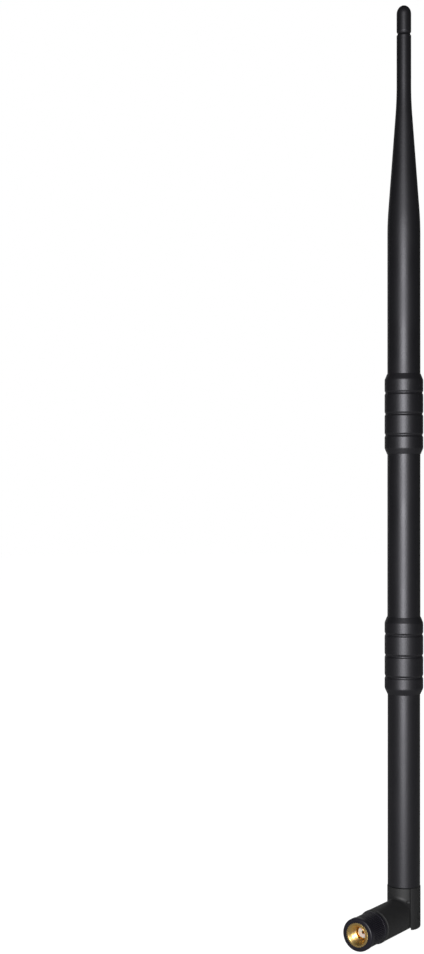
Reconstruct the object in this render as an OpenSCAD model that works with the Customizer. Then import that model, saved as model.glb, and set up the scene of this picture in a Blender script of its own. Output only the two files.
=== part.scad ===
/* [Coupling nut] */
// Inside diameter at the thread crests, quarter inch 36 per inch
thread_minor_d = 5.72; // [5.6:0.01:5.8]
// Diameter over the thread roots
thread_major_d = 6.35; // [6.3:0.01:6.5]
// Length of the threaded wall
thread_len = 3.6; // [3:0.1:4.5]
// Diameter of the mouth's chamfer
mouth_d = 7.7; // [6.8:0.1:8]
// Depth of the mouth's chamfer
mouth_depth = 0.9; // [0.5:0.1:1.4]
// Diameter over the nut's knurl
nut_d = 9.2; // [8.8:0.1:9.8]
// Number of scallops in the knurl
knurl_count = 36; // [24:2:48]
// Depth of one scallop
knurl_depth = 0.24; // [0.1:0.02:0.4]
// Length of the relief behind the thread
relief_len = 2.9; // [2:0.1:4]
// Length of the bore that turns on the plug
bearing_len = 4.0; // [3:0.1:4.6]
// Slack of the retaining ring along the axis, in the nut's groove
ring_slack = 0.1; // [0.06:0.02:0.2]

/* [Grip sleeve] */
// Diameter of the front flange
grip_d = 12.5; // [12:0.1:13.5]
// Length of the smooth front flange
grip_flange_len = 2.2; // [1.4:0.1:3]
// Length of the ribbed stretch
grip_rib_len = 8.4; // [7.5:0.1:10]
// Length of the smooth rear rim
grip_rim_len = 1.5; // [1:0.1:2.4]
// Diameter of the smooth rear rim
grip_rim_d = 12.3; // [11.9:0.1:13]
// How far the ribs' tops lie below the rear rim
grip_rib_drop = 0.1; // [0.05:0.05:0.2]
// Depth of the furrows between the ribs
grip_rib_depth = 0.4; // [0.2:0.05:0.6]
// Number of ribs
grip_rib_count = 54; // [36:2:64]
// Radius of the flange's front edge
grip_edge = 0.8; // [0.3:0.1:1.2]
// How far the nut's face stands out of the sleeve
nut_proud = 0.2; // [0:0.05:0.5]
// Room round the plug's flange, outside the nut's radius
grip_recess = 0.2; // [0.1:0.05:0.5]

/* [Plug] */
// Outer diameter of the plug's nose
nose_d = 4.58; // [4.5:0.01:4.6]
// Length of the nose
nose_len = 2.9; // [2:0.1:3.4]
// Gap along the axis between thread and nose
nose_setback = 0.1; // [0.05:0.05:0.5]
// Diameter of the insulator
insulator_d = 4.1; // [3.8:0.05:4.2]
// Length of the insulator
insulator_len = 8.4; // [7.4:0.1:9.4]
// Diameter of the centre contact
contact_d = 1.27; // [1.1:0.01:1.5]
// Diameter of the contact's socket
socket_d = 0.95; // [0.9:0.01:1]
// Depth of the contact's socket
socket_len = 3.0; // [2:0.1:5]
// Width of the slits in the socket
slit_w = 0.18; // [0.1:0.02:0.25]
// How far the contact lies behind the insulator's face
contact_setback = 0.05; // [0:0.05:0.3]
// Diameter of the plug's collar that the nut turns on
collar_turn_d = 5.6; // [5.4:0.05:5.8]
// Diameter of the plug's flange
flange_d = 8.0; // [7:0.1:8.4]
// Gap along the axis between the nut and the flange
nut_play = 0.3; // [0.15:0.05:0.5]
// Diameter of the plug's shank in the arm
shank_d = 6.4; // [6:0.1:8]
// Length of the shank
shank_len = 7.0; // [5:0.1:8]
// Diameter of the crimp neck
neck_d = 3.0; // [2.7:0.1:3.6]
// Length of the crimp neck
neck_len = 4.4; // [3.5:0.1:6]
// Wall of the crimp ferrule
ferrule_wall = 0.45; // [0.3:0.05:0.6]
// Thickness of the retaining ring along the axis
ring_len = 0.6; // [0.4:0.05:0.8]
// Radial width of the retaining ring
ring_w = 0.5; // [0.4:0.05:0.6]
// Opening of the retaining ring
ring_open = 50; // [30:5:80]

/* [Arm] */
// Distance from the nut's mouth to the elbow's pivot
arm_reach = 37.2; // [34:0.1:42]
// Diameter of the arm
arm_d = 12.8; // [12.4:0.1:12.9]
// Gap between the grip sleeve and the arm
arm_gap = 0.5; // [0.3:0.1:1]
// Diameter of the lip at the arm's front
lip_d = 13.0; // [12.9:0.05:13.4]
// Length of that lip
lip_len = 0.9; // [0.5:0.1:1.5]
// Diameter of the hollow behind the plug
hollow_d = 5.0; // [4.6:0.1:7]

/* [Elbow] */
// Width of the arm's tongue
tongue_w = 9.8; // [8.8:0.1:10]
// Gap between the tongue and each ear
ear_gap = 0.1; // [0.05:0.01:0.2]
// Diameter of the hinge pins
pin_d = 3.0; // [2.4:0.1:3.6]
// Depth of a pin in the tongue
pin_depth = 2.6; // [2:0.1:2.8]
// How far a pin's head lies below the ear's surface
pin_sink = 0.25; // [0.1:0.05:0.5]
// Reach of the ears past the pivot
ear_reach = 5.6; // [5:0.1:6.8]
// Radius of the rounded edge at the ears' end
ear_edge = 0.8; // [0.5:0.1:1.5]
// Gap between the tongue and the rear half of the slot's bottom
crotch_gap = 0.35; // [0.25:0.05:0.6]
// Gap round the web in the elbow's inner corner, which rises from the arm to the tube
web_gap = 0.15; // [0.1:0.05:0.3]
// Diameter of the gate mark on the web
mark_d = 1.2; // [0.8:0.1:1.6]
// Depth of the gate mark
mark_depth = 0.2; // [0.1:0.05:0.3]
// Height of the gate mark above the pivot
mark_z = 5.6; // [5:0.1:7]
// Turn of the gate mark round the mast's axis
mark_turn = 222; // [200:1:228]
// Gap between the swinging ears and the arm's shoulder
swing_gap = 0.25; // [0.2:0.05:0.5]
// Width of the channel for the lead
channel_w = 2.4; // [2.2:0.1:2.8]
// Bend radius of the lead in the elbow
lead_bend = 5.0; // [4.5:0.1:5.5]
// Diameter of the mast's foot
base_d = 13.0; // [12.9:0.05:13.4]
// Height of the foot's top seam above the pivot
base_rise = 10.85; // [9:0.05:12]
// Length of the foot's spigot in the tube
spigot_len = 9.0; // [6:0.5:12]
// Chamfer on the two edges at each seam
seam_chamfer = 0.25; // [0.1:0.05:0.4]

/* [Mast] */
// Diameter of the lower tube
lower_tube_d = 12.7; // [12.3:0.1:12.9]
// Diameter of the middle and upper tubes
tube_d = 12.9; // [12.6:0.1:13.2]
// Wall of the tubes
tube_wall = 1.2; // [0.9:0.1:1.6]
// Height of the lower collar's foot above the pivot
lower_collar_z = 86.0; // [80:0.5:100]
// Height of the upper collar's foot above the pivot
upper_collar_z = 180.2; // [170:0.5:190]
// Length of the lower collar
lower_collar_len = 30.3; // [28:0.1:34]
// Length of the upper collar
upper_collar_len = 31.5; // [28:0.1:34]
// Diameter of the collars
collar_d = 15.1; // [14.8:0.1:15.8]
// Length of the collars' end chamfers
collar_chamfer = 2.3; // [1.5:0.1:3]
// Width of the collars' end faces
collar_lip = 0.15; // [0.1:0.05:0.3]
// Thickness of the stop rib inside a collar
collar_rib = 1.5; // [1:0.1:2.5]
// Grooves on a collar
groove_count = 3; // [1:1:4]
// Spacing of the grooves
groove_pitch = 8.3; // [5:0.1:8.6]
// Width of a groove
groove_w = 1.5; // [0.8:0.1:2]
// Depth of a groove
groove_depth = 0.38; // [0.2:0.02:0.6]
// Height of the taper's foot above the radiator's last coil
taper_rise = 13.5; // [8:0.5:16]
// Length of the taper
taper_len = 48.0; // [40:0.5:52]
// Diameter of the tip
tip_d = 5.7; // [5.2:0.05:6.4]
// Wall of the tip
tip_wall = 1.2; // [1:0.05:1.4]
// Free height between the radiator's end and the cap's plug
tip_room = 23.5; // [14:0.5:30]
// Length of the cap above the groove
cap_len = 11.2; // [8:0.1:14]
// Height of the cap's dome
dome_h = 3.4; // [2.5:0.1:4]
// Half width of the groove below the cap
cap_groove_w = 0.8; // [0.4:0.1:1.2]
// Depth of the groove below the cap
cap_groove_depth = 0.47; // [0.2:0.01:0.7]
// Length of the cap's plug inside the tip
cap_plug_len = 6.0; // [4:0.5:10]

/* [Radiator] */
// Diameter of the coaxial lead
lead_d = 1.8; // [1.6:0.05:1.9]
// Height of the choke sleeve's foot above the pivot
choke_z = 24.0; // [22:0.5:26]
// Length of the choke sleeve
choke_len = 28.0; // [26:0.5:31]
// Outer diameter of the choke sleeve
choke_d = 6.8; // [5.5:0.1:8]
// Wall of the choke sleeve
choke_wall = 0.4; // [0.3:0.05:0.6]
// Length of the bead in the choke's foot
bead_len = 3.0; // [2:0.5:5]
// Length of the lead above the choke
feed_rise = 2.0; // [1:0.5:3]
// Length of the shrink sleeve on the feed joint
shrink_len = 8.0; // [6:0.5:12]
// Wall of the shrink sleeve
shrink_wall = 0.35; // [0.2:0.05:0.6]
// Diameter of the radiator wire
wire_d = 1.2; // [1:0.1:1.4]
// Length of a straight stretch of the radiator
straight_len = 58.0; // [54:0.5:58.5]
// Length of a phasing coil
coil_len = 10.0; // [8:0.5:10.5]
// Mean diameter of a phasing coil
coil_d = 5.2; // [4:0.1:6]
// Turns in a phasing coil
coil_turns = 4; // [3:1:5]
// Thickness of a foam spacer
spacer_len = 5.0; // [3:0.5:8]
// Height of the lower spacer above the feed
spacer_rise = 24.0; // [15:1:26]

/* [Fits] */
// Radial clearance of what turns: nut on plug, pins in tongue
turn_gap = 0.05; // [0.02:0.01:0.08]
// Gap past the blind end of a pin
blind_gap = 0.1; // [0.05:0.05:0.2]

/* [Hidden] */

$fn = 64;
over = 1;
coil_count = 3;

// Stations along the connector's axis, from the nut's mouth
relief_x = mouth_depth + thread_len;
bearing_x = relief_x + relief_len;
nut_len = bearing_x + bearing_len;
ring_x = bearing_x + (bearing_len - ring_len) / 2;
nose_x = relief_x + nose_setback;
collar_x = nose_x + nose_len;
flange_x = nut_len + nut_play;
grip_end_x = nut_proud + grip_flange_len + grip_rib_len + grip_rim_len;
arm_x = grip_end_x + arm_gap;
neck_x = arm_x + shank_len;
lead_x = nose_x + insulator_len;

// Radii about the connector's axis
nut_r = nut_d / 2;
turn_r = collar_turn_d / 2;
ring_in_r = turn_r - ring_w / 2;
ring_out_r = ring_in_r + ring_w;
relief_r = thread_major_d / 2 + turn_gap;
lead_r = lead_d / 2;

// The elbow
arm_r = arm_d / 2;
base_r = base_d / 2;
tongue_y = tongue_w / 2;
ear_y = tongue_y + ear_gap;
crotch_z = arm_r + crotch_gap;
web_z = base_rise - web_gap;
ear_half = sqrt(base_r * base_r - ear_y * ear_y);
swing_r = norm([ear_half, ear_reach]) + swing_gap;
pin_r = pin_d / 2;
pin_in_y = tongue_y - pin_depth;
pin_out_y = base_r - pin_sink;

// The mast, heights above the pivot
lower_bore_r = lower_tube_d / 2 - tube_wall;
bore_r = tube_d / 2 - tube_wall;
lower_joint_z = lower_collar_z + lower_collar_len / 2;
upper_joint_z = upper_collar_z + upper_collar_len / 2;
tip_r = tip_d / 2;
tip_bore_r = tip_r - tip_wall;
wire_r = wire_d / 2;
choke_top = choke_z + choke_len;
feed_z = choke_top + feed_rise;
section_len = straight_len + coil_len;
last_coil_z = feed_z + coil_count * section_len;
wire_end_z = last_coil_z + straight_len;
spacer_z = [for (i = [0:coil_count - 1]) feed_z + spacer_rise + i * section_len];
taper_z = last_coil_z + taper_rise;
tip_z = taper_z + taper_len;
cap_z = wire_end_z + tip_room + cap_plug_len;

// Points of an arc about c, from angle a to angle b
function arc(c, r, a, b, n = 6) =
    [for (i = [0:n]) c + r * [cos(a + (b - a) * i / n), sin(a + (b - a) * i / n)]];

// A knurl's outline: round scallops pressed into a circle
function knurl(r, depth, count) =
    [for (i = [0:count * 6 - 1]) let (a = i * 60 / count)
        (r - depth * (1 - abs(cos(a * count / 2)))) * [cos(a), sin(a)]];

// A ribbed outline: flat topped ribs with sloping flanks
function ribs(r, depth, count) =
    [for (i = [0:count - 1], k = [[0.08, 0], [0.22, 1], [0.78, 1], [0.92, 0]])
        let (a = (i + k[0]) * 360 / count) (r - depth * (1 - k[1])) * [cos(a), sin(a)]];

// Rings of a round tube along a path; each ring faces along its own direction
function ring_at(p, d, r, sides) =
    let (side = abs(d[1]) > 0.9 ? [1, 0, 0] : [0, 1, 0], u = cross(side, d) / norm(cross(side, d)),
        v = cross(d, u))
    [for (k = [0:sides - 1]) p + r * (cos(k * 360 / sides) * u + sin(k * 360 / sides) * v)];

function heading(path, i) =
    let (a = path[max(i - 1, 0)], b = path[min(i + 1, len(path) - 1)]) (b - a) / norm(b - a);

module swept(path, r, sides = 8) {
    n = len(path);
    points = [for (i = [0:n - 1]) each ring_at(path[i], heading(path, i), r, sides)];
    walls = [for (i = [0:n - 2], k = [0:sides - 1]) let (m = (k + 1) % sides)
        [i * sides + k, i * sides + m, (i + 1) * sides + m, (i + 1) * sides + k]];
    first = [[for (k = [sides - 1:-1:0]) k]];
    last = [[for (k = [0:sides - 1]) (n - 1) * sides + k]];
    polyhedron(points, concat(first, walls, last), convexity = 8);
}

// Lays a shape made along +Z on the connector's axis, from the mouth inwards
module on_connector() rotate([0, 90, 0]) children();

// Moves a shape made about the pivot to the elbow
module at_elbow() translate([arm_reach, 0, 0]) children();

module revolved(points) rotate_extrude() polygon(points);

module tube(z0, z1, outer, inner) translate([0, 0, z0]) difference() {
    cylinder(h = z1 - z0, r = outer);
    translate([0, 0, -over]) cylinder(h = z1 - z0 + 2 * over, r = inner);
}

module coupling_nut() color("gold") on_connector() difference() {
    linear_extrude(nut_len) polygon(knurl(nut_r, knurl_depth, knurl_count));
    revolved([[0, -over], [mouth_d / 2, -over], [mouth_d / 2, 0], [thread_minor_d / 2, mouth_depth],
        [thread_minor_d / 2, relief_x], [relief_r, relief_x], [relief_r, bearing_x],
        [turn_r + turn_gap, bearing_x], [turn_r + turn_gap, nut_len + over], [0, nut_len + over]]);
    translate([0, 0, ring_x - ring_slack / 2])
        cylinder(h = ring_len + ring_slack, r = ring_out_r + turn_gap);
}

module grip_sleeve() {
    flange_r = grip_d / 2;
    rib_z = nut_proud + grip_flange_len;
    rim_z = rib_z + grip_rib_len;
    color("dimgray") on_connector() difference() {
        union() {
            revolved(concat([[0, nut_proud]],
                arc([flange_r - grip_edge, nut_proud + grip_edge], grip_edge, -90, 0),
                [[flange_r, rib_z - seam_chamfer], [flange_r - seam_chamfer, rib_z], [0, rib_z]]));
            translate([0, 0, rib_z]) linear_extrude(grip_rib_len)
                polygon(ribs(grip_rim_d / 2 - grip_rib_drop, grip_rib_depth, grip_rib_count));
            revolved([[0, rim_z], [grip_rim_d / 2, rim_z], [grip_rim_d / 2, grip_end_x - seam_chamfer],
                [grip_rim_d / 2 - seam_chamfer, grip_end_x], [0, grip_end_x]]);
        }
        linear_extrude(nut_len) polygon(knurl(nut_r, knurl_depth, knurl_count));
        translate([0, 0, nut_len]) cylinder(h = grip_end_x, r = nut_r + grip_recess);
    }
}

module plug_shell() color("gold") on_connector() difference() {
    revolved([[0, nose_x], [nose_d / 2, nose_x], [nose_d / 2, collar_x], [turn_r, collar_x],
        [turn_r, ring_x], [ring_in_r, ring_x], [ring_in_r, ring_x + ring_len], [turn_r, ring_x + ring_len],
        [turn_r, flange_x], [flange_d / 2, flange_x], [flange_d / 2, arm_x], [shank_d / 2, arm_x],
        [shank_d / 2, neck_x], [neck_d / 2, neck_x], [neck_d / 2, neck_x + neck_len],
        [0, neck_x + neck_len]]);
    translate([0, 0, nose_x - over]) cylinder(h = insulator_len + over, r = insulator_d / 2);
    translate([0, 0, nose_x]) cylinder(h = neck_x + neck_len, r = lead_r);
}

module insulator() color("white") on_connector()
    tube(nose_x, lead_x, insulator_d / 2, contact_d / 2);

module centre_contact() color("gold") on_connector() translate([0, 0, nose_x + contact_setback])
    difference() {
        cylinder(h = insulator_len - contact_setback, r = contact_d / 2);
        translate([0, 0, -over]) cylinder(h = socket_len + over, r = socket_d / 2);
        translate([-contact_d, -slit_w / 2, -over]) cube([2 * contact_d, slit_w, socket_len + over]);
    }

module retaining_ring() color("silver") on_connector() difference() {
    tube(ring_x, ring_x + ring_len, ring_out_r, ring_in_r);
    translate([0, 0, ring_x - over]) linear_extrude(ring_len + 2 * over)
        polygon([[0, 0], [nut_d, -nut_d * tan(ring_open / 2)], [nut_d, nut_d * tan(ring_open / 2)]]);
}

module crimp_ferrule() color("gold") on_connector()
    tube(neck_x, neck_x + neck_len, neck_d / 2 + ferrule_wall, neck_d / 2);

module coax_lead() {
    bend = arc([arm_reach - lead_bend, lead_bend], lead_bend, -90, 0, 8);
    path = concat([[lead_x, 0, 0]], [for (p = bend) [p[0], 0, p[1]]], [[arm_reach, 0, feed_z]]);
    color("sienna") swept(path, lead_r);
}

module arm_housing() {
    hollow_end = arm_reach - lead_bend;
    half = channel_w / 2;
    // The lead's way through the tongue in both poses, open at the top and the end
    channel = concat([[-lead_bend - over, -half], [-lead_bend - over, half]],
        arc([-lead_bend, lead_bend], lead_bend - half, -90, 0),
        [[-half, web_z + over], [arm_d, web_z + over], [arm_d, -half]]);
    color("dimgray") difference() {
        union() {
            at_elbow() intersection() {
                cylinder(h = web_z, r = base_r);
                translate([-base_r, -tongue_y, 0]) cube([base_r - web_gap, tongue_w, web_z]);
            }
            intersection() {
                on_connector() translate([0, 0, arm_x]) cylinder(h = arm_reach + arm_r - arm_x, r = arm_r);
                union() {
                    translate([0, -arm_r, -arm_r]) cube([arm_reach, arm_d, arm_d]);
                    at_elbow() rotate([90, 0, 0]) cylinder(h = arm_d, r = arm_r, center = true);
                    at_elbow() translate([0, -arm_r, -arm_r]) cube([arm_r, arm_d, arm_r]);
                }
                union() {
                    translate([0, -arm_r, -arm_r]) cube([arm_reach, arm_d, arm_d]);
                    at_elbow() cylinder(h = arm_d, r = arm_r, center = true);
                }
            }
            on_connector() revolved([[0, arm_x], [lip_d / 2 - seam_chamfer, arm_x],
                [lip_d / 2, arm_x + seam_chamfer], [lip_d / 2, arm_x + lip_len],
                [arm_r, arm_x + lip_len + seam_chamfer], [0, arm_x + lip_len + seam_chamfer]]);
        }
        for (side = [-1, 1]) at_elbow() {
            translate([0, side * (tongue_y + arm_r / 2), 0]) rotate([90, 0, 0])
                cylinder(h = arm_r, r = swing_r, center = true);
            translate([0, side * (pin_in_y - blind_gap + arm_r / 2), 0]) rotate([90, 0, 0])
                cylinder(h = arm_r, r = pin_r + turn_gap, center = true);
        }
        on_connector() translate([0, 0, arm_x - over]) cylinder(h = shank_len + over, r = shank_d / 2);
        on_connector() cylinder(h = hollow_end, r = hollow_d / 2);
        at_elbow() rotate([90, 0, 0]) linear_extrude(channel_w, center = true) polygon(channel);
        at_elbow() rotate([0, 0, mark_turn]) translate([base_r - mark_depth, 0, mark_z]) rotate([0, 90, 0])
            cylinder(h = over, r = mark_d / 2);
    }
}

module hinge_pin(side) color("dimgray") at_elbow()
    translate([0, side * (pin_in_y + pin_out_y) / 2, 0]) rotate([90, 0, 0])
        cylinder(h = pin_out_y - pin_in_y, r = pin_r, center = true);

module front_hinge_pin() hinge_pin(-1);

module back_hinge_pin() hinge_pin(1);

module mast_base() color("dimgray") at_elbow() difference() {
    union() {
        revolved(concat([[0, -ear_reach]], arc([base_r - ear_edge, -ear_reach + ear_edge], ear_edge, -90, 0),
            [[base_r, base_rise - seam_chamfer], [base_r - seam_chamfer, base_rise], [0, base_rise]]));
        cylinder(h = base_rise + spigot_len, r = lower_bore_r);
    }
    translate([-base_d, -ear_y, -base_d]) cube([2 * base_d, 2 * ear_y, base_d + crotch_z]);
    translate([-base_d, -ear_y, 0]) cube([base_d, 2 * ear_y, base_rise + ear_gap]);
    rotate([90, 0, 0]) cylinder(h = 2 * base_d, r = pin_r, center = true);
    cylinder(h = base_rise + spigot_len + over, r = channel_w / 2);
    translate([0, 0, crotch_z - over]) cylinder(h = channel_w + over, r1 = channel_w + over, r2 = channel_w / 2);
}

module lower_tube() {
    outer = lower_tube_d / 2;
    color("dimgray") at_elbow() revolved([[lower_bore_r, base_rise], [outer - seam_chamfer, base_rise],
        [outer, base_rise + seam_chamfer], [outer, lower_joint_z - collar_rib / 2],
        [lower_bore_r, lower_joint_z - collar_rib / 2]]);
}

module middle_tube() color("dimgray") at_elbow()
    tube(lower_joint_z + collar_rib / 2, upper_joint_z - collar_rib / 2, tube_d / 2, bore_r);

// A sleeve over two tube ends, with a stop rib inside and grooves outside
module collar(z0, length, below_d) {
    outer = collar_d / 2;
    joint_z = z0 + length / 2;
    at_elbow() difference() {
        revolved([[0, z0], [below_d / 2 + collar_lip, z0], [outer, z0 + collar_chamfer],
            [outer, z0 + length - collar_chamfer], [tube_d / 2 + collar_lip, z0 + length], [0, z0 + length]]);
        for (i = [0:groove_count - 1]) translate([0, 0, joint_z + (i - (groove_count - 1) / 2) * groove_pitch])
            revolved([[outer - groove_depth, 0], [outer + groove_depth, -groove_w],
                [outer + groove_depth, groove_w]]);
        translate([0, 0, z0 - over]) cylinder(h = length + 2 * over, r = bore_r);
        translate([0, 0, z0 - over]) cylinder(h = length / 2 - collar_rib / 2 + over, r = below_d / 2);
        translate([0, 0, joint_z + collar_rib / 2]) cylinder(h = length, r = tube_d / 2);
    }
}

module lower_collar() color("dimgray") collar(lower_collar_z, lower_collar_len, lower_tube_d);

module upper_collar() color("dimgray") collar(upper_collar_z, upper_collar_len, tube_d);

module upper_tube() {
    foot_z = upper_joint_z + collar_rib / 2;
    color("dimgray") at_elbow() revolved([[bore_r, foot_z], [tube_d / 2, foot_z], [tube_d / 2, taper_z],
        [tip_r, tip_z], [tip_r, cap_z - cap_groove_w], [tip_r - cap_groove_depth, cap_z],
        [tip_bore_r, cap_z], [tip_bore_r, tip_z], [bore_r, taper_z]]);
}

// The dome ends in a small flat, where the moulding was cut from its gate
module tip_cap() {
    top_z = cap_z + cap_len;
    dome = [for (a = [0:9:81]) [tip_r * cos(a), top_z + dome_h * (sin(a) - sin(81))]];
    color("dimgray") at_elbow() revolved(concat([[0, cap_z - cap_plug_len], [tip_bore_r, cap_z - cap_plug_len],
        [tip_bore_r, cap_z], [tip_r - cap_groove_depth, cap_z], [tip_r, cap_z + cap_groove_w]], dome,
        [[0, top_z]]));
}

module choke_sleeve() {
    outer = choke_d / 2;
    color("gold") at_elbow() revolved([[outer - choke_wall, choke_z], [outer, choke_z], [outer, choke_top],
        [lead_r, choke_top], [lead_r, choke_top - choke_wall], [outer - choke_wall, choke_top - choke_wall]]);
}

module choke_bead() color("white") at_elbow()
    tube(choke_z, choke_z + bead_len, choke_d / 2 - choke_wall, lead_r);

module feed_sleeve() {
    foot_z = feed_z - feed_rise;
    color("black") at_elbow() revolved([[lead_r, foot_z], [lead_r + shrink_wall, foot_z],
        [lead_r + shrink_wall, feed_z], [wire_r + shrink_wall, feed_z + lead_r], [wire_r + shrink_wall,
        foot_z + shrink_len], [wire_r, foot_z + shrink_len], [wire_r, feed_z], [lead_r, feed_z]]);
}

module radiator_wire() {
    steps = 16;
    reach = coil_d / 2;
    // One coil eases out from the axis, turns, and eases back to it
    function coil(z) = [for (i = [0:coil_turns * steps])
        let (t = i / (coil_turns * steps), ease = min(1, min(t, 1 - t) * coil_turns * 2), a = t * coil_turns * 360)
        [reach * ease * cos(a), reach * ease * sin(a), z + t * coil_len]];
    path = concat([[0, 0, feed_z]],
        [for (k = [0:coil_count - 1]) each coil(feed_z + straight_len + k * section_len)],
        [[0, 0, wire_end_z]]);
    color("peru") at_elbow() swept(path, wire_r);
}

module spacer(i) at_elbow() tube(spacer_z[i], spacer_z[i] + spacer_len, i == 0 ? lower_bore_r : bore_r, wire_r);

module lower_spacer() color("lightgray") spacer(0);

module middle_spacer() color("lightgray") spacer(1);

module upper_spacer() color("lightgray") spacer(2);

coupling_nut();
grip_sleeve();
plug_shell();
insulator();
centre_contact();
retaining_ring();
crimp_ferrule();
coax_lead();
arm_housing();
front_hinge_pin();
back_hinge_pin();
mast_base();
lower_tube();
lower_collar();
middle_tube();
upper_collar();
upper_tube();
tip_cap();
choke_sleeve();
choke_bead();
feed_sleeve();
radiator_wire();
lower_spacer();
middle_spacer();
upper_spacer();
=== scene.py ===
import math

import bpy
import numpy as np
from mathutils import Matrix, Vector


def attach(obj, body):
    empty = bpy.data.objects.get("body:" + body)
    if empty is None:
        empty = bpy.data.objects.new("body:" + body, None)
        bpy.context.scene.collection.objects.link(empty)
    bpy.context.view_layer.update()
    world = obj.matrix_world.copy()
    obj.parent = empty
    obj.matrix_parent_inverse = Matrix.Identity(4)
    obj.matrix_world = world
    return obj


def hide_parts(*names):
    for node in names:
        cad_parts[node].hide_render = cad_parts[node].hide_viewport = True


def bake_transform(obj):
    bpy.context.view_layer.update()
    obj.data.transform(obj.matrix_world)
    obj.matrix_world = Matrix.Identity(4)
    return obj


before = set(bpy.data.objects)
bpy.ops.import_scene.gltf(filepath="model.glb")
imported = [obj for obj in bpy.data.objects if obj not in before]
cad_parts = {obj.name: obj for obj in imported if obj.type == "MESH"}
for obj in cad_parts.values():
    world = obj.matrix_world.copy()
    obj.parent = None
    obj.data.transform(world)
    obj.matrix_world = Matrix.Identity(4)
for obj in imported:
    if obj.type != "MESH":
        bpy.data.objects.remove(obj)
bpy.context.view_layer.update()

# Coupling nut. Turned from brass bar, tapped 1/4-36 from its mouth, knurled outside so that the
# grip can't slip on it, then plated with gold over nickel. It turns freely on the plug's collar.
mm = 0.001
nut_length = 11.4
nut_radius = 4.6
flute_count = 36
flute_depth = 0.24
mouth_radius = 3.85
mouth_depth = 0.9
wall_middle = 4.2
crest_radius = 2.86
root_radius = 3.175
crest_flat = 0.25
root_flat = 0.125
thread_pitch = 25.4 / 36
thread_end = 4.5
thread_rows = 90
relief_radius = 3.225
relief_end = 7.4
running_bore = 2.85
ring_seat = 3.1
ring_front, ring_back = 9.05, 9.75


def on_connector(station, across, side):
    """A point at `station` along the connector's axis, which is +X from the nut's mouth."""
    return np.stack([station, side, -across], -1) * mm


def eased(corners, closed=True, steps=4):
    """Rounds an outline. Each corner (station, radius, cut) gives way to the quadratic curve
    (1-u)^2 A + 2u(1-u) C + u^2 B, where C is the corner, and A and B lie `cut` away from it on its
    two sides. A point just outside each end of the curve keeps the long sides evenly shaded. A
    corner without a cut gets one of 0.06, and none takes more than 0.36 of its shorter side."""
    c = np.array([(*p, 0.06)[:3] for p in corners], float)
    at, cut = c[:, :2], c[:, 2]
    back, ahead = np.roll(at, 1, 0) - at, np.roll(at, -1, 0) - at
    back_long, ahead_long = np.linalg.norm(back, axis=1), np.linalg.norm(ahead, axis=1)
    cut = np.minimum(cut, 0.36 * np.minimum(back_long, ahead_long))
    back = back / back_long[:, None] * cut[:, None]
    ahead = ahead / ahead_long[:, None] * cut[:, None]
    u = np.linspace(0, 1, steps + 1)[None, :, None]
    curve = at[:, None] + (1 - u) ** 2 * back[:, None] + u**2 * ahead[:, None]
    rows = np.concatenate([(at + 1.3 * back)[:, None], curve, (at + 1.3 * ahead)[:, None]], 1)
    if closed:
        return rows.reshape(-1, 2)
    return np.concatenate([at[:1], rows[1:-1].reshape(-1, 2), at[-1:]])


def skin(name, points, quads, fans=()):
    """A smooth mesh object at the origin, from an array of points and arrays of faces."""
    mesh = bpy.data.meshes.new(name)
    mesh.from_pydata(points.tolist(), [], np.asarray(quads).tolist() + [list(f) for f in fans])
    mesh.polygons.foreach_set("use_smooth", np.ones(len(mesh.polygons), bool))
    piece = bpy.data.objects.new(name, mesh)
    bpy.context.scene.collection.objects.link(piece)
    return piece


def turned(name, outline, sides, lay, form=None):
    """Sweeps an outline round an axis. Point (i, k) stands at the outline's station s_i, at the
    angle 2 pi k / sides, and form(s_i, r_i, angle), or just r_i, away from the axis. An outline
    that starts and ends on the axis gets a fan at each end; any other joins its ends."""
    s, r = np.asarray(outline, float).T
    solid = r[0] < 1e-9
    tips = s[[0, -1]]
    if solid:
        s, r = s[1:-1], r[1:-1]
    station, angle = np.meshgrid(s, 2 * np.pi * np.arange(sides) / sides, indexing="ij")
    radius = np.repeat(r[:, None], sides, 1)
    if form is not None:
        radius = form(station, radius, angle)
    points = lay(station, radius * np.cos(angle), radius * np.sin(angle)).reshape(-1, 3)
    grid = np.arange(station.size).reshape(station.shape)
    low, high = (grid[:-1], grid[1:]) if solid else (grid, np.roll(grid, -1, 0))
    quads = np.stack([low, np.roll(low, -1, 1), np.roll(high, -1, 1), high], -1).reshape(-1, 4)
    fans = []
    if solid:
        ends = lay(tips, np.zeros(2), np.zeros(2))
        points = np.concatenate([points, ends])
        first, last = np.full(sides, len(points) - 2), np.full(sides, len(points) - 1)
        foot, head = grid[0], grid[-1]
        fans = np.concatenate([np.stack([first, np.roll(foot, -1), foot], 1),
                               np.stack([last, head, np.roll(head, -1)], 1)]).tolist()
    return skin(name, points, quads, fans)


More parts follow.
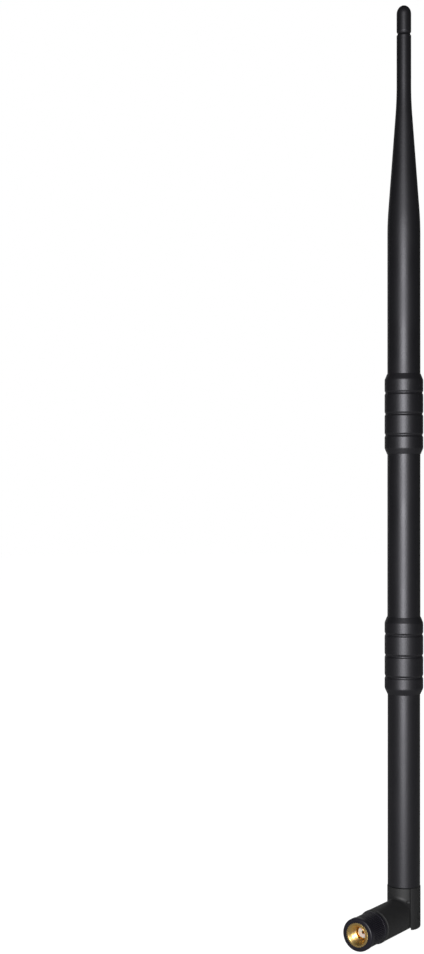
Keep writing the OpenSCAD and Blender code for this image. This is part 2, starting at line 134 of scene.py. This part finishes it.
def finish(name, colour, rough, drift=0.05, patch=60.0, grain=2500.0, relief=0.08,
           stretch=(1, 1, 1), **sockets):
    """A finish for one kind of surface. Its roughness drifts by `drift` with a soft noise of
    `patch` per metre, and a fine noise of `grain` per metre, drawn out by `stretch`, raises it by
    `relief` of a tenth of a millimetre."""
    made = bpy.data.materials.new(name)
    made.use_nodes = True
    tree = made.node_tree
    shader = tree.nodes["Principled BSDF"]
    shader.inputs["Base Color"].default_value = (*colour, 1)
    for socket, value in sockets.items():
        shader.inputs[socket.replace("_", " ")].default_value = value
    place = tree.nodes.new("ShaderNodeTexCoord")
    stretched = tree.nodes.new("ShaderNodeMapping")
    stretched.inputs["Scale"].default_value = stretch
    tree.links.new(place.outputs["Object"], stretched.inputs["Vector"])
    soft, fine = (tree.nodes.new("ShaderNodeTexNoise") for _ in range(2))
    soft.inputs["Scale"].default_value = patch
    fine.inputs["Scale"].default_value = grain
    fine.inputs["Detail"].default_value = 3
    reach = tree.nodes.new("ShaderNodeMapRange")
    reach.inputs["From Min"].default_value = 0.3
    reach.inputs["From Max"].default_value = 0.7
    reach.inputs["To Min"].default_value = rough - drift
    reach.inputs["To Max"].default_value = rough + drift
    bump = tree.nodes.new("ShaderNodeBump")
    bump.inputs["Strength"].default_value = relief
    bump.inputs["Distance"].default_value = 0.0001
    tree.links.new(place.outputs["Object"], soft.inputs["Vector"])
    tree.links.new(stretched.outputs["Vector"], fine.inputs["Vector"])
    tree.links.new(soft.outputs["Fac"], reach.inputs["Value"])
    tree.links.new(reach.outputs["Result"], shader.inputs["Roughness"])
    tree.links.new(fine.outputs["Fac"], bump.inputs["Height"])
    tree.links.new(bump.outputs["Normal"], shader.inputs["Normal"])
    return made


def fit(piece, material, body, node):
    """Gives a made piece its finish and its body, and hides the plain solid that it stands for."""
    piece.data.materials.append(material)
    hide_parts(node)
    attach(piece, body)


def flutes(angle):
    """Depth of the knurl's scallops: round hollows between `flute_count` sharp ridges."""
    return flute_depth * (1 - np.abs(np.cos(angle * flute_count / 2)))


def nut_form(station, radius, angle):
    """The knurl outside; inside, the thread's helix wherever it lies deeper than the bore. Its
    profile over one pitch is a trapezoid with a flat crest and a flat root."""
    turn = np.mod(station / thread_pitch - angle / (2 * np.pi), 1)
    foot, width = (1 - crest_flat) / 2, (1 - crest_flat - root_flat) / 2
    flank = np.clip((foot - np.abs(turn - 0.5)) / width, 0, 1)
    threaded = crest_radius + (root_radius - crest_radius) * flank
    inside = (radius < wall_middle) & (station > 0.02) & (station < thread_end - 0.03)
    cut = np.where(inside, np.maximum(radius, threaded), radius)
    return np.where(radius > wall_middle, radius - flutes(angle), cut)


nut_rear = eased([
    (0, mouth_radius, 0.05), (0, nut_radius, 0.12), (nut_length, nut_radius, 0.1),
    (nut_length, running_bore), (ring_back, running_bore), (ring_back, ring_seat),
    (ring_front, ring_seat), (ring_front, running_bore), (relief_end, running_bore),
    (relief_end, relief_radius), (thread_end, relief_radius), (thread_end, crest_radius, 0.04)])
bore = np.linspace(thread_end - 0.06, 0.03, thread_rows)
bore_radius = crest_radius + (mouth_radius - crest_radius) * np.clip(1 - bore / mouth_depth, 0, 1)
nut_outline = np.concatenate([nut_rear, np.stack([bore, bore_radius], 1)])
coupling_nut = turned("coupling_nut_turned", nut_outline, 8 * flute_count, on_connector, nut_form)
gold = finish("gold plate", (0.8, 0.56, 0.22), 0.3, drift=0.04, patch=700, grain=9000, relief=0.12,
              stretch=(1, 0.03, 0.03), Metallic=1.0)
fit(coupling_nut, gold, "coupling", "coupling_nut")

# Grip sleeve. Black nylon, moulded with fine ribs between a rounded flange and a smooth rim, and
# pressed over the nut's knurl. A finger and a thumb turn the nut by it.
grip_start = 0.2
flange_radius = 6.25
flange_end = 2.4
rib_end = 10.8
rib_radius = 6.05
rib_depth = 0.4
rib_count = 54
rib_top = 0.27
rib_slope = 0.16
rim_radius = 6.15
grip_end = 12.3
grip_bore = nut_radius + 0.02
rear_bore = 4.8
sleeve_middle = 5.5


def grip_form(station, radius, angle):
    """Ribs with flat tops and sloping flanks on the middle stretch, and the nut's scallops
    inside. The ribs fade out where the outline climbs to the flange and to the rim."""
    share = np.mod(angle * rib_count / (2 * np.pi), 1)
    slope = np.clip((np.abs(share - 0.5) - rib_top) / rib_slope, 0, 1)
    furrow = rib_depth * slope * slope * (3 - 2 * slope)
    ribbed = (station > flange_end - 0.02) & (station < rib_end + 0.02) & (radius > sleeve_middle)
    shown = np.where(ribbed, np.clip((rib_radius + 0.07 - radius) / 0.06, 0, 1), 0)
    knurled = (radius < (nut_radius + rear_bore) / 2) & (station < nut_length + 0.01)
    return radius - furrow * shown - np.where(knurled, flutes(angle), 0)


grip_outline = eased([
    (grip_start, grip_bore, 0.03), (grip_start, flange_radius, 0.8), (flange_end, flange_radius, 0.3),
    (flange_end, rib_radius, 0.04), (rib_end, rib_radius, 0.04), (rib_end, rim_radius, 0.04),
    (grip_end, rim_radius, 0.3), (grip_end, rear_bore, 0.1), (nut_length, rear_bore, 0.02),
    (nut_length, grip_bore, 0.02)])
grip_sleeve = turned("grip_sleeve_moulded", grip_outline, 8 * rib_count, on_connector, grip_form)
# The blue-violet in this black base colour is a painted sheen, spread evenly over the whole sleeve.
grip_plastic = finish("grip nylon", (0.007, 0.006, 0.011), 0.4, drift=0.05, patch=400, grain=5000,
                      relief=0.1, Specular_IOR_Level=0.5)
fit(grip_sleeve, grip_plastic, "coupling", "grip_sleeve")

# Plug. A turned and gold plated brass shell, pressed in the arm: the nose goes into the jack, the
# nut runs on the collar behind it, and the lead's braid is crimped on the neck.
nose_start, nose_end = 4.6, 7.5
nose_radius = 2.29
nose_bore = 2.05
nose_floor = 13.0
plug_collar = 2.8
ring_floor = 2.55
groove_front, groove_back = 9.1, 9.7
flange_front = 11.7
plug_flange = 4.0
arm_front = 12.8
shank_radius = 3.2
shank_end = 19.8
neck_radius = 1.5
neck_bore = 0.9
neck_end = 24.2
plug_shell = turned("plug_shell_turned", eased([
    (nose_start, nose_bore, 0.03), (nose_start, nose_radius, 0.08), (nose_end, nose_radius),
    (nose_end, plug_collar, 0.15), (groove_front, plug_collar), (groove_front, ring_floor),
    (groove_back, ring_floor), (groove_back, plug_collar), (flange_front, plug_collar),
    (flange_front, plug_flange, 0.15), (arm_front, plug_flange), (arm_front, shank_radius),
    (shank_end, shank_radius, 0.2), (shank_end, neck_radius), (neck_end, neck_radius, 0.1),
    (neck_end, neck_bore), (nose_floor, neck_bore), (nose_floor, nose_bore)]), 96, on_connector)
fit(plug_shell, gold, "connector", "plug_shell")

# Insulator. A PTFE sleeve turned from rod, pressed in the plug's nose and flush with it, with the
# centre contact in its bore.
contact_radius = 0.635
insulator = turned("insulator_turned", eased([
    (nose_start, contact_radius, 0.06), (nose_start, nose_bore, 0.08), (nose_floor, nose_bore),
    (nose_floor, contact_radius)]), 96, on_connector)
ptfe = finish("ptfe", (0.58, 0.51, 0.46), 0.5, patch=900, grain=7000, relief=0.06,
              Subsurface_Weight=0.3, Subsurface_Scale=0.001)
fit(insulator, ptfe, "connector", "insulator")

# Small metal pieces. The contact is beryllium copper, slit into two springs; the ring between
# plug and nut is spring wire; the ferrule is crimped brass.


def dress(node, material):
    """Gives a plain solid that is shown as it is its finish."""
    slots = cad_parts[node].data.materials
    slots.clear()
    slots.append(material)


dress("centre_contact", finish("contact gold", (0.8, 0.55, 0.25), 0.35, patch=900, Metallic=1.0))
dress("retaining_ring", finish("spring steel", (0.5, 0.5, 0.5), 0.3, patch=900, Metallic=1.0))
dress("crimp_ferrule", gold)

# Arm. Moulded in black ABS: a round housing pressed on the plug's shank, hollow for the lead, with
# a flat tongue at the elbow and a web in its inner corner. The web rises to the tube and carries
# the round mark of the mould's gate.
pivot_x = 37.2
arm_radius = 6.4
lip_radius = 6.5
lip_length = 0.9
seat_depth = 7
hollow_radius = 2.5
foot_radius = 6.5
tongue_half = 4.9
swing_radius = 7.22
seam_z = 10.85
web_top = 10.7
web_back = 0.15
web_fillet = 1.5
lead_room = 1.2
lead_bend = 5.0
channel_front = 6
pin_radius = 1.5
pin_hole = 1.55
pin_hole_floor = 2.2
mark_radius = 0.6
mark_depth = 0.2
mark_z = 5.6
mark_turn = math.radians(222)


def joined(a, b, k):
    """The union of two fields, with a fillet about k wide: the lesser one, less
    (k - |a - b|)^2 / 4k where they come closer than k."""
    return np.minimum(a, b) - np.maximum(k - np.abs(a - b), 0) ** 2 / (4 * k)


def common(a, b, k):
    """What two fields share, with an edge rounded over about k: the union turned inside out."""
    return -joined(-a, -b, k)


def grown(name, field, low, high, cell):
    """The surface where field(x, y, z), in millimetres from the elbow's pivot, is 0. Each cell of
    a grid that the surface crosses gets one point, at the mean of the crossings on its edges,
    moved onto the surface along the field's gradient. Each grid edge that the surface crosses
    gets the quad of the four points round it."""
    axes = [np.arange(a, b + cell, cell) for a, b in zip(low, high)]
    value = field(*np.meshgrid(*axes, indexing="ij"))
    cells = tuple(n - 1 for n in value.shape)
    total, count = np.zeros((*cells, 3)), np.zeros(cells)
    for axis in range(3):
        for across in ((0, 0), (0, 1), (1, 0), (1, 1)):
            corner = list(across)
            corner.insert(axis, 0)
            start = tuple(slice(c, c + n) for c, n in zip(corner, cells))
            corner[axis] = 1
            end = tuple(slice(c, c + n) for c, n in zip(corner, cells))
            crossed = (value[start] < 0) != (value[end] < 0)
            at = np.zeros((*cells, 3))
            at[...] = [c if i != axis else 0 for i, c in enumerate(corner)]
            at[..., axis] = value[start] / np.where(crossed, value[start] - value[end], 1)
            total += np.where(crossed[..., None], at, 0)
            count += crossed
    kept = count > 0
    index = np.full(cells, -1)
    index[kept] = np.arange(kept.sum())
    points = np.argwhere(kept) * cell + total[kept] / count[kept][:, None] * cell + np.array(low)

    def slope(p, step=0.01):
        """The field's gradient at the points p, from its values `step` to either side."""
        shift = np.eye(3) * step
        return np.stack([field(*(p + d).T) - field(*(p - d).T) for d in shift], 1) / (2 * step)

    for _ in range(3):
        g = slope(points)
        move = field(*points.T)[:, None] * g / np.maximum((g**2).sum(1), 0.2)[:, None]
        points -= np.clip(move, -cell / 2, cell / 2)
    quads = []
    for axis in range(3):
        order = (axis, (axis + 1) % 3, (axis + 2) % 3)
        inner = np.moveaxis(value < 0, order, (0, 1, 2))
        near = np.moveaxis(index, order, (0, 1, 2))
        low_in, high_in = inner[:-1, 1:-1, 1:-1], inner[1:, 1:-1, 1:-1]
        ring = np.stack([near[:, :-1, :-1], near[:, 1:, :-1], near[:, 1:, 1:], near[:, :-1, 1:]], -1)
        quads += [ring[low_in & ~high_in], ring[~low_in & high_in][:, ::-1]]
    normals = slope(points)
    normals /= np.maximum(np.linalg.norm(normals, axis=1), 1e-6)[:, None]
    piece = skin(name, (points + [pivot_x, 0, 0]) * mm, np.concatenate(quads))
    piece.data.normals_split_custom_set_from_vertices(normals.tolist())
    return piece


def arm_field(x, y, z):
    """The barrel with its lip, cut round at the elbow's back and top; the web blended into it;
    less the ears' pockets, the gate mark, the plug's seat, the hollow, the lead's channel and the
    pins' holes. `ease` keeps the two round cuts off the barrel in front of the elbow."""
    upright, hinge, barrel = np.hypot(x, y), np.hypot(x, z), np.hypot(y, z)
    front = arm_front - pivot_x
    ease = np.minimum(x, 0) * 0.3
    body = common(barrel - arm_radius, front - x, 0.2)
    body = common(body, np.hypot(np.maximum(x, 0), y) - arm_radius + ease, 0.3)
    body = common(body, np.hypot(np.maximum(x, 0), np.maximum(z, 0)) - arm_radius + ease, 0.3)
    lip_half = lip_length / 2
    lip = common(barrel - lip_radius, np.abs(x - front - lip_half) - lip_half, 0.1)
    web = common(common(upright - foot_radius, x + web_back, 0.2), np.abs(y) - tongue_half, 0.2)
    body = joined(np.minimum(body, lip), np.maximum(web, -z), web_fillet)
    body = common(body, z - web_top, 0.12)
    pocket = common(tongue_half - np.abs(y), hinge - swing_radius, 0.3)
    body = common(body, -pocket, 0.25)
    along, aside = math.cos(mark_turn), math.sin(mark_turn)
    outward, beside = along * x + aside * y, along * y - aside * x
    mark = common(np.hypot(beside, z - mark_z) - mark_radius, foot_radius - mark_depth - outward, 0.3)
    body = common(body, -mark, 0.2)
    seat = np.maximum(barrel - shank_radius, np.abs(x - front) - seat_depth)
    hollow = np.maximum(barrel - hollow_radius, x + lead_bend)
    bend = np.maximum(lead_bend - lead_room - np.hypot(x + lead_bend, z - lead_bend), z - lead_bend)
    channel = np.maximum(np.maximum(np.abs(y) - lead_room, -lead_room - z),
                         np.maximum(-channel_front - x, np.minimum(-lead_room - x, bend)))
    pins = np.maximum(hinge - pin_hole, pin_hole_floor - np.abs(y))
    hollows = np.minimum(np.minimum(seat, hollow), np.minimum(channel, pins))
    return common(body, -hollows, 0.15)


# This base colour, about twice as light as the tubes' black, is partly painted light: it lifts the whole
# elbow, foot and pins to stand for light falling on the arm's flank.
elbow_plastic = finish("elbow abs", (0.01, 0.01, 0.0105), 0.6, drift=0.04, patch=300, grain=4500,
                       relief=0.14, Specular_IOR_Level=0.62)
arm_housing = grown("arm_housing_moulded", arm_field, (-24.8, -6.9, -6.9), (6.8, 6.9, 11.1), 0.165)
fit(arm_housing, elbow_plastic, "connector", "arm_housing")

# Mast foot. Moulded in black ABS: a slotted fork whose two ears hold the tongue, with a rounded
# end that clears the arm, and a spigot glued in the lower tube.
ear_reach = 5.6
slot_half = 5.0
slot_top = 6.75
spigot_radius = 5.15
spigot_length = 9
flare_top = 9.15
flare_height = 3.4
flare_radius = 3.4


def foot_field(x, y, z):
    """A post with a rounded end and a spigot, less the stepped slot, the lead's bore with its
    flared mouth, and the holes of the pins."""
    upright, hinge = np.hypot(x, y), np.hypot(x, z)
    post = common(common(upright - foot_radius, z - seam_z, 0.35), -ear_reach - z, 1.0)
    spigot = np.maximum(common(upright - spigot_radius, z - seam_z - spigot_length, 0.3), -z)
    body = np.minimum(post, spigot)
    opening = np.minimum(z - slot_top, np.maximum(x, z - seam_z - 0.1))
    slot = np.maximum(np.abs(y) - slot_half, opening)
    widening = (flare_top - z) * (flare_radius - lead_room) / flare_height
    flare = upright - np.clip(lead_room + widening, lead_room, flare_radius)
    return common(body, -np.minimum(joined(slot, flare, 0.3), hinge - pin_radius), 0.22)


mast_base = grown("mast_base_moulded", foot_field, (-6.9, -6.9, -6.1), (6.9, 6.9, 20.3), 0.16)
fit(mast_base, elbow_plastic, "mast", "mast_base")

# Hinge pins. Two short acetal pins, pressed in the ears and a little below their surface; they
# turn in blind holes in the tongue, which leaves the middle free for the lead.
pin_outer, pin_inner = 6.25, 2.3


def on_hinge(station, across, side):
    """A point at `station` along the elbow's hinge, which is +Y through the pivot."""
    return np.stack([pivot_x + side, station, across], -1) * mm


for pin, near, far in (("front_hinge_pin", -pin_outer, -pin_inner),
                       ("back_hinge_pin", pin_inner, pin_outer)):
    outline = eased([(near, 0), (near, pin_radius, 0.15), (far, pin_radius, 0.15), (far, 0)], closed=False)
    fit(turned(pin + "_turned", outline, 48, on_hinge), elbow_plastic, "mast", pin)

# Tubes. Extruded black ABS in three lengths, satin outside. The upper one is drawn down to a
# slim tip, with a groove where the cap meets it.
lower_radius, tube_radius = 6.35, 6.45
lower_bore, tube_bore = 5.15, 5.25
lower_end = 100.4
middle_start, middle_end = 101.9, 195.2
upper_start = 196.7
taper_start, taper_end = 271.5, 319.5
tip_radius, tip_bore = 2.85, 1.65
groove_start, cap_joint = 344.7, 345.5
groove_floor = 2.38


def on_mast(station, across, side):
    """A point at `station` above the elbow's pivot, on the mast's upright axis."""
    return np.stack([pivot_x + across, side, station], -1) * mm


# The blue in this base colour and in its specular tint is painted light: it is a bluish cast of the lamps,
# laid on the tubes, the collars and the cap.
mast_plastic = finish("mast abs", (0.0045, 0.0044, 0.0056), 0.45, drift=0.03, patch=60, grain=1500,
                      relief=0.35, Specular_IOR_Level=0.72, Specular_Tint=(0.94, 0.93, 1.0, 1))
tubes = {
    "lower_tube": [(seam_z, lower_bore), (seam_z, lower_radius, 0.25), (lower_end, lower_radius),
                   (lower_end, lower_bore)],
    "middle_tube": [(middle_start, tube_bore), (middle_start, tube_radius), (middle_end, tube_radius),
                    (middle_end, tube_bore)],
    "upper_tube": [(upper_start, tube_bore), (upper_start, tube_radius), (taper_start, tube_radius, 5),
                   (taper_end, tip_radius, 6), (groove_start, tip_radius, 0.15),
                   (cap_joint, groove_floor, 0.05), (cap_joint, tip_bore), (taper_end, tip_bore, 4),
                   (taper_start, tube_bore, 4)],
}
for tube, corners in tubes.items():
    drawn_tube = turned(tube + "_drawn", eased(corners, steps=8), 96, on_mast)
    fit(drawn_tube, mast_plastic, "mast", tube)

# Collars. Turned black ABS sleeves glued over two tube ends that meet on a rib inside, each with
# a chamfer at both ends and three shallow grooves round it.
collar_radius = 7.55
end_wall = 0.15
chamfer_length = 2.3
rib_half = 0.75
groove_depth = 0.38
groove_half = 0.75
groove_pitch = 8.3


def collar_outline(foot, length, below, above):
    """A collar's corners: its inside with the stop rib, its chamfers, and its V grooves."""
    top, joint = foot + length, foot + length / 2
    grooves = [(joint + k * groove_pitch + side * groove_half, collar_radius - (side == 0) * groove_depth,
                0.3 if side == 0 else 0.2) for k in (-1, 0, 1) for side in (-1, 0, 1)]
    return [(foot, below), (foot, below + end_wall), (foot + chamfer_length, collar_radius, 0.35), *grooves,
            (top - chamfer_length, collar_radius, 0.35), (top, above + end_wall), (top, above),
            (joint + rib_half, above), (joint + rib_half, tube_bore), (joint - rib_half, tube_bore),
            (joint - rib_half, below)]


for collar, foot, length, below in (("lower_collar", 86.0, 30.3, lower_radius),
                                    ("upper_collar", 180.2, 31.5, tube_radius)):
    outline = eased(collar_outline(foot, length, below, tube_radius), steps=5)
    sleeve = turned(collar + "_turned", outline, 96, on_mast)
    fit(sleeve, mast_plastic, "mast", collar)

# Tip cap. Moulded in black ABS: a stem pressed in the tip of the upper tube, and a round head
# that closes it, with a groove between the two.
stem_start = 339.5
head_start, head_end = 346.3, 353.3
cap_top = 356.7
dome_height = 3.4
dome_angle = np.radians(np.arange(0, 90, 6))
dome = np.stack([cap_top - dome_height * (1 - np.sin(dome_angle)), tip_radius * np.cos(dome_angle)], 1)
stem = eased([(stem_start, 0), (stem_start, tip_bore), (cap_joint, tip_bore), (cap_joint, groove_floor),
              (head_start, tip_radius, 0.15), (head_end - 0.5, tip_radius, 0.02),
              (head_end, tip_radius)], closed=False)
cap_outline = np.concatenate([stem[:-1], dome, [[cap_top - 0.015, 0]]])
tip_cap = turned("tip_cap_moulded", cap_outline, 96, on_mast)
fit(tip_cap, mast_plastic, "mast", "tip_cap")

# Lead. Thin coaxial cable with a brown jacket, from the contact through the elbow to the feed
# point. It bends in the elbow as the mast tilts; here it is drawn with one fixed bend there.
lead_radius = 0.9
lead_end = 54.0
lead_gap = 0.2
sweep = np.linspace(-np.pi / 2, 0, 25)
lead_path = np.concatenate([
    np.stack([np.linspace(nose_floor, pivot_x - lead_bend - lead_gap, 24), np.zeros(24)], 1),
    np.stack([pivot_x - lead_bend + lead_bend * np.cos(sweep), lead_bend * (1 + np.sin(sweep))], 1),
    np.stack([np.full(40, pivot_x), np.linspace(lead_bend + lead_gap, lead_end, 40)], 1)])


def drawn(name, path, radius, sides):
    """A round rod along a path in the XZ plane. Point (i, k) is path point i plus radius times
    cos(a) N + sin(a) Y, where N is the path's normal in that plane and a = 2 pi k / sides."""
    along = np.gradient(path, axis=0)
    along /= np.linalg.norm(along, axis=1)[:, None]
    angle = 2 * np.pi * np.arange(sides) / sides
    out = radius * np.cos(angle)[None, :]
    side = np.repeat(radius * np.sin(angle)[None], len(path), 0)
    points = np.stack([path[:, :1] - out * along[:, 1:], side, path[:, 1:] + out * along[:, :1]], -1)
    points = points.reshape(-1, 3) * mm
    grid = np.arange(len(path) * sides).reshape(len(path), sides)
    low, high = grid[:-1], grid[1:]
    quads = np.stack([low, high, np.roll(high, -1, 1), np.roll(low, -1, 1)], -1).reshape(-1, 4)
    return skin(name, points, quads, [grid[0].tolist(), grid[-1][::-1].tolist()])


coax_lead = drawn("coax_lead_drawn", lead_path, lead_radius, 24)
jacket = finish("lead jacket", (0.2, 0.06, 0.02), 0.35, patch=500, grain=6000)
coax_lead.data.materials.append(jacket)
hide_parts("coax_lead")
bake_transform(coax_lead)

# Radiator. One copper wire with three phasing coils wound in it, on the lead's core, under shrink
# tube; a brass sleeve on the lead is the choke, and foam discs centre it all in the tubes.
foam = finish("foam", (0.75, 0.75, 0.72), 0.9, patch=500, grain=2000, relief=0.5)
dress("radiator_wire", finish("copper wire", (0.75, 0.32, 0.16), 0.3, patch=600, Metallic=1.0))
dress("choke_sleeve", finish("brass tube", (0.65, 0.45, 0.18), 0.28, patch=600, Metallic=1.0))
dress("choke_bead", ptfe)
dress("feed_sleeve", finish("shrink tube", (0.012, 0.012, 0.012), 0.5, patch=500, grain=3000))
for disc in ("lower_spacer", "middle_spacer", "upper_spacer"):
    dress(disc, foam)

# Studio: a pale floor and backdrop that show as white, a soft light in front, a large dim one
# behind that rims the mast, and a small one for the gold in the plug's mouth.
pivot = np.array([pivot_x, 0, 0]) * mm
view_turn = math.radians(55)
look = np.array([math.sin(view_turn), math.cos(view_turn), 0])
aside = np.array([look[1], -look[0], 0])
up = np.array([0, 0, 1.0])
camera_back = 0.6
camera_left = 0.0755
camera_rise = 0.1712
camera_data = bpy.data.cameras.new("camera")
camera_data.sensor_fit = "VERTICAL"
camera_data.sensor_height = 36
camera_data.lens = 57.54
camera_data.clip_start = 0.05
camera_data.clip_end = 20
camera = bpy.data.objects.new("camera", camera_data)
camera.location = pivot - camera_back * look - camera_left * aside + camera_rise * up
camera.rotation_euler = (math.pi / 2, 0, -view_turn)
bpy.context.scene.collection.objects.link(camera)
bpy.context.scene.camera = camera

mirrored = 0.05
sky_strength = 0.25


def seen(tree, plain):
    """1 for what the camera sees, `mirrored` for what gloss and glass show, else `plain`."""
    rays = tree.nodes.new("ShaderNodeLightPath")
    gloss, shine = (tree.nodes.new("ShaderNodeMath") for _ in range(2))
    gloss.operation = "MAXIMUM"
    tree.links.new(rays.outputs["Is Glossy Ray"], gloss.inputs[0])
    tree.links.new(rays.outputs["Is Transmission Ray"], gloss.inputs[1])
    shine.operation = "MULTIPLY_ADD"
    shine.inputs[1].default_value = mirrored - plain
    shine.inputs[2].default_value = plain
    tree.links.new(gloss.outputs[0], shine.inputs[0])
    level = tree.nodes.new("ShaderNodeMath")
    level.operation = "MAXIMUM"
    tree.links.new(rays.outputs["Is Camera Ray"], level.inputs[0])
    tree.links.new(shine.outputs[0], level.inputs[1])
    return level.outputs[0]


white = bpy.data.materials.new("floor white")
white.use_nodes = True
shown = white.node_tree.nodes["Principled BSDF"]
shown.inputs["Base Color"].default_value = (0.3, 0.3, 0.3, 1)
shown.inputs["Roughness"].default_value = 0.9
shown.inputs["Specular IOR Level"].default_value = 0.1
shown.inputs["Emission Color"].default_value = (0.93, 0.93, 0.93, 1)
white.node_tree.links.new(seen(white.node_tree, 0.0), shown.inputs["Emission Strength"])

floor_z = -0.012
floor_sides = 96
floor_rings = np.array([0.25, 1.0, 3.0])
rim = 2 * np.pi * np.arange(floor_sides) / floor_sides
floor_points = np.stack([pivot[0] + floor_rings[:, None] * np.cos(rim), floor_rings[:, None] * np.sin(rim),
                         np.full((3, floor_sides), floor_z)], -1)
ring = np.arange(3 * floor_sides).reshape(3, floor_sides)
floor_quads = np.stack([ring[:-1], ring[1:], np.roll(ring[1:], -1, 1), np.roll(ring[:-1], -1, 1)], -1)
floor = skin("floor", floor_points.reshape(-1, 3), floor_quads.reshape(-1, 4), [ring[0].tolist()])
floor.data.materials.append(white)

world = bpy.data.worlds.new("sky")
world.use_nodes = True
sky = world.node_tree.nodes["Background"]
sky.inputs["Color"].default_value = (1, 1, 1, 1)
world.node_tree.links.new(seen(world.node_tree, sky_strength), sky.inputs["Strength"])
bpy.context.scene.world = world


def softbox(name, place, target, width, height, power):
    """A rectangular soft light at `place`, turned to face `target`, that the camera doesn't see."""
    data = bpy.data.lights.new(name, "AREA")
    data.shape = "RECTANGLE"
    data.size, data.size_y, data.energy = width, height, power
    lamp = bpy.data.objects.new(name, data)
    lamp.location = place
    lamp.rotation_euler = (Vector(target) - Vector(place)).to_track_quat("-Z", "Y").to_euler()
    lamp.visible_camera = False
    bpy.context.scene.collection.objects.link(lamp)


mast_middle = pivot + 0.18 * up
softbox("front", pivot - 0.75 * look - 0.13 * aside + 0.19 * up, mast_middle, 0.3, 0.3, 6.2)
softbox("back", pivot + 0.9 * look + 0.25 * up, mast_middle, 1.2, 1.2, 1.8)
softbox("mouth", np.array([-0.14, -0.06, 0.06]), np.zeros(3), 0.08, 0.06, 0.036)

bpy.context.scene.view_settings.view_transform = "Standard"
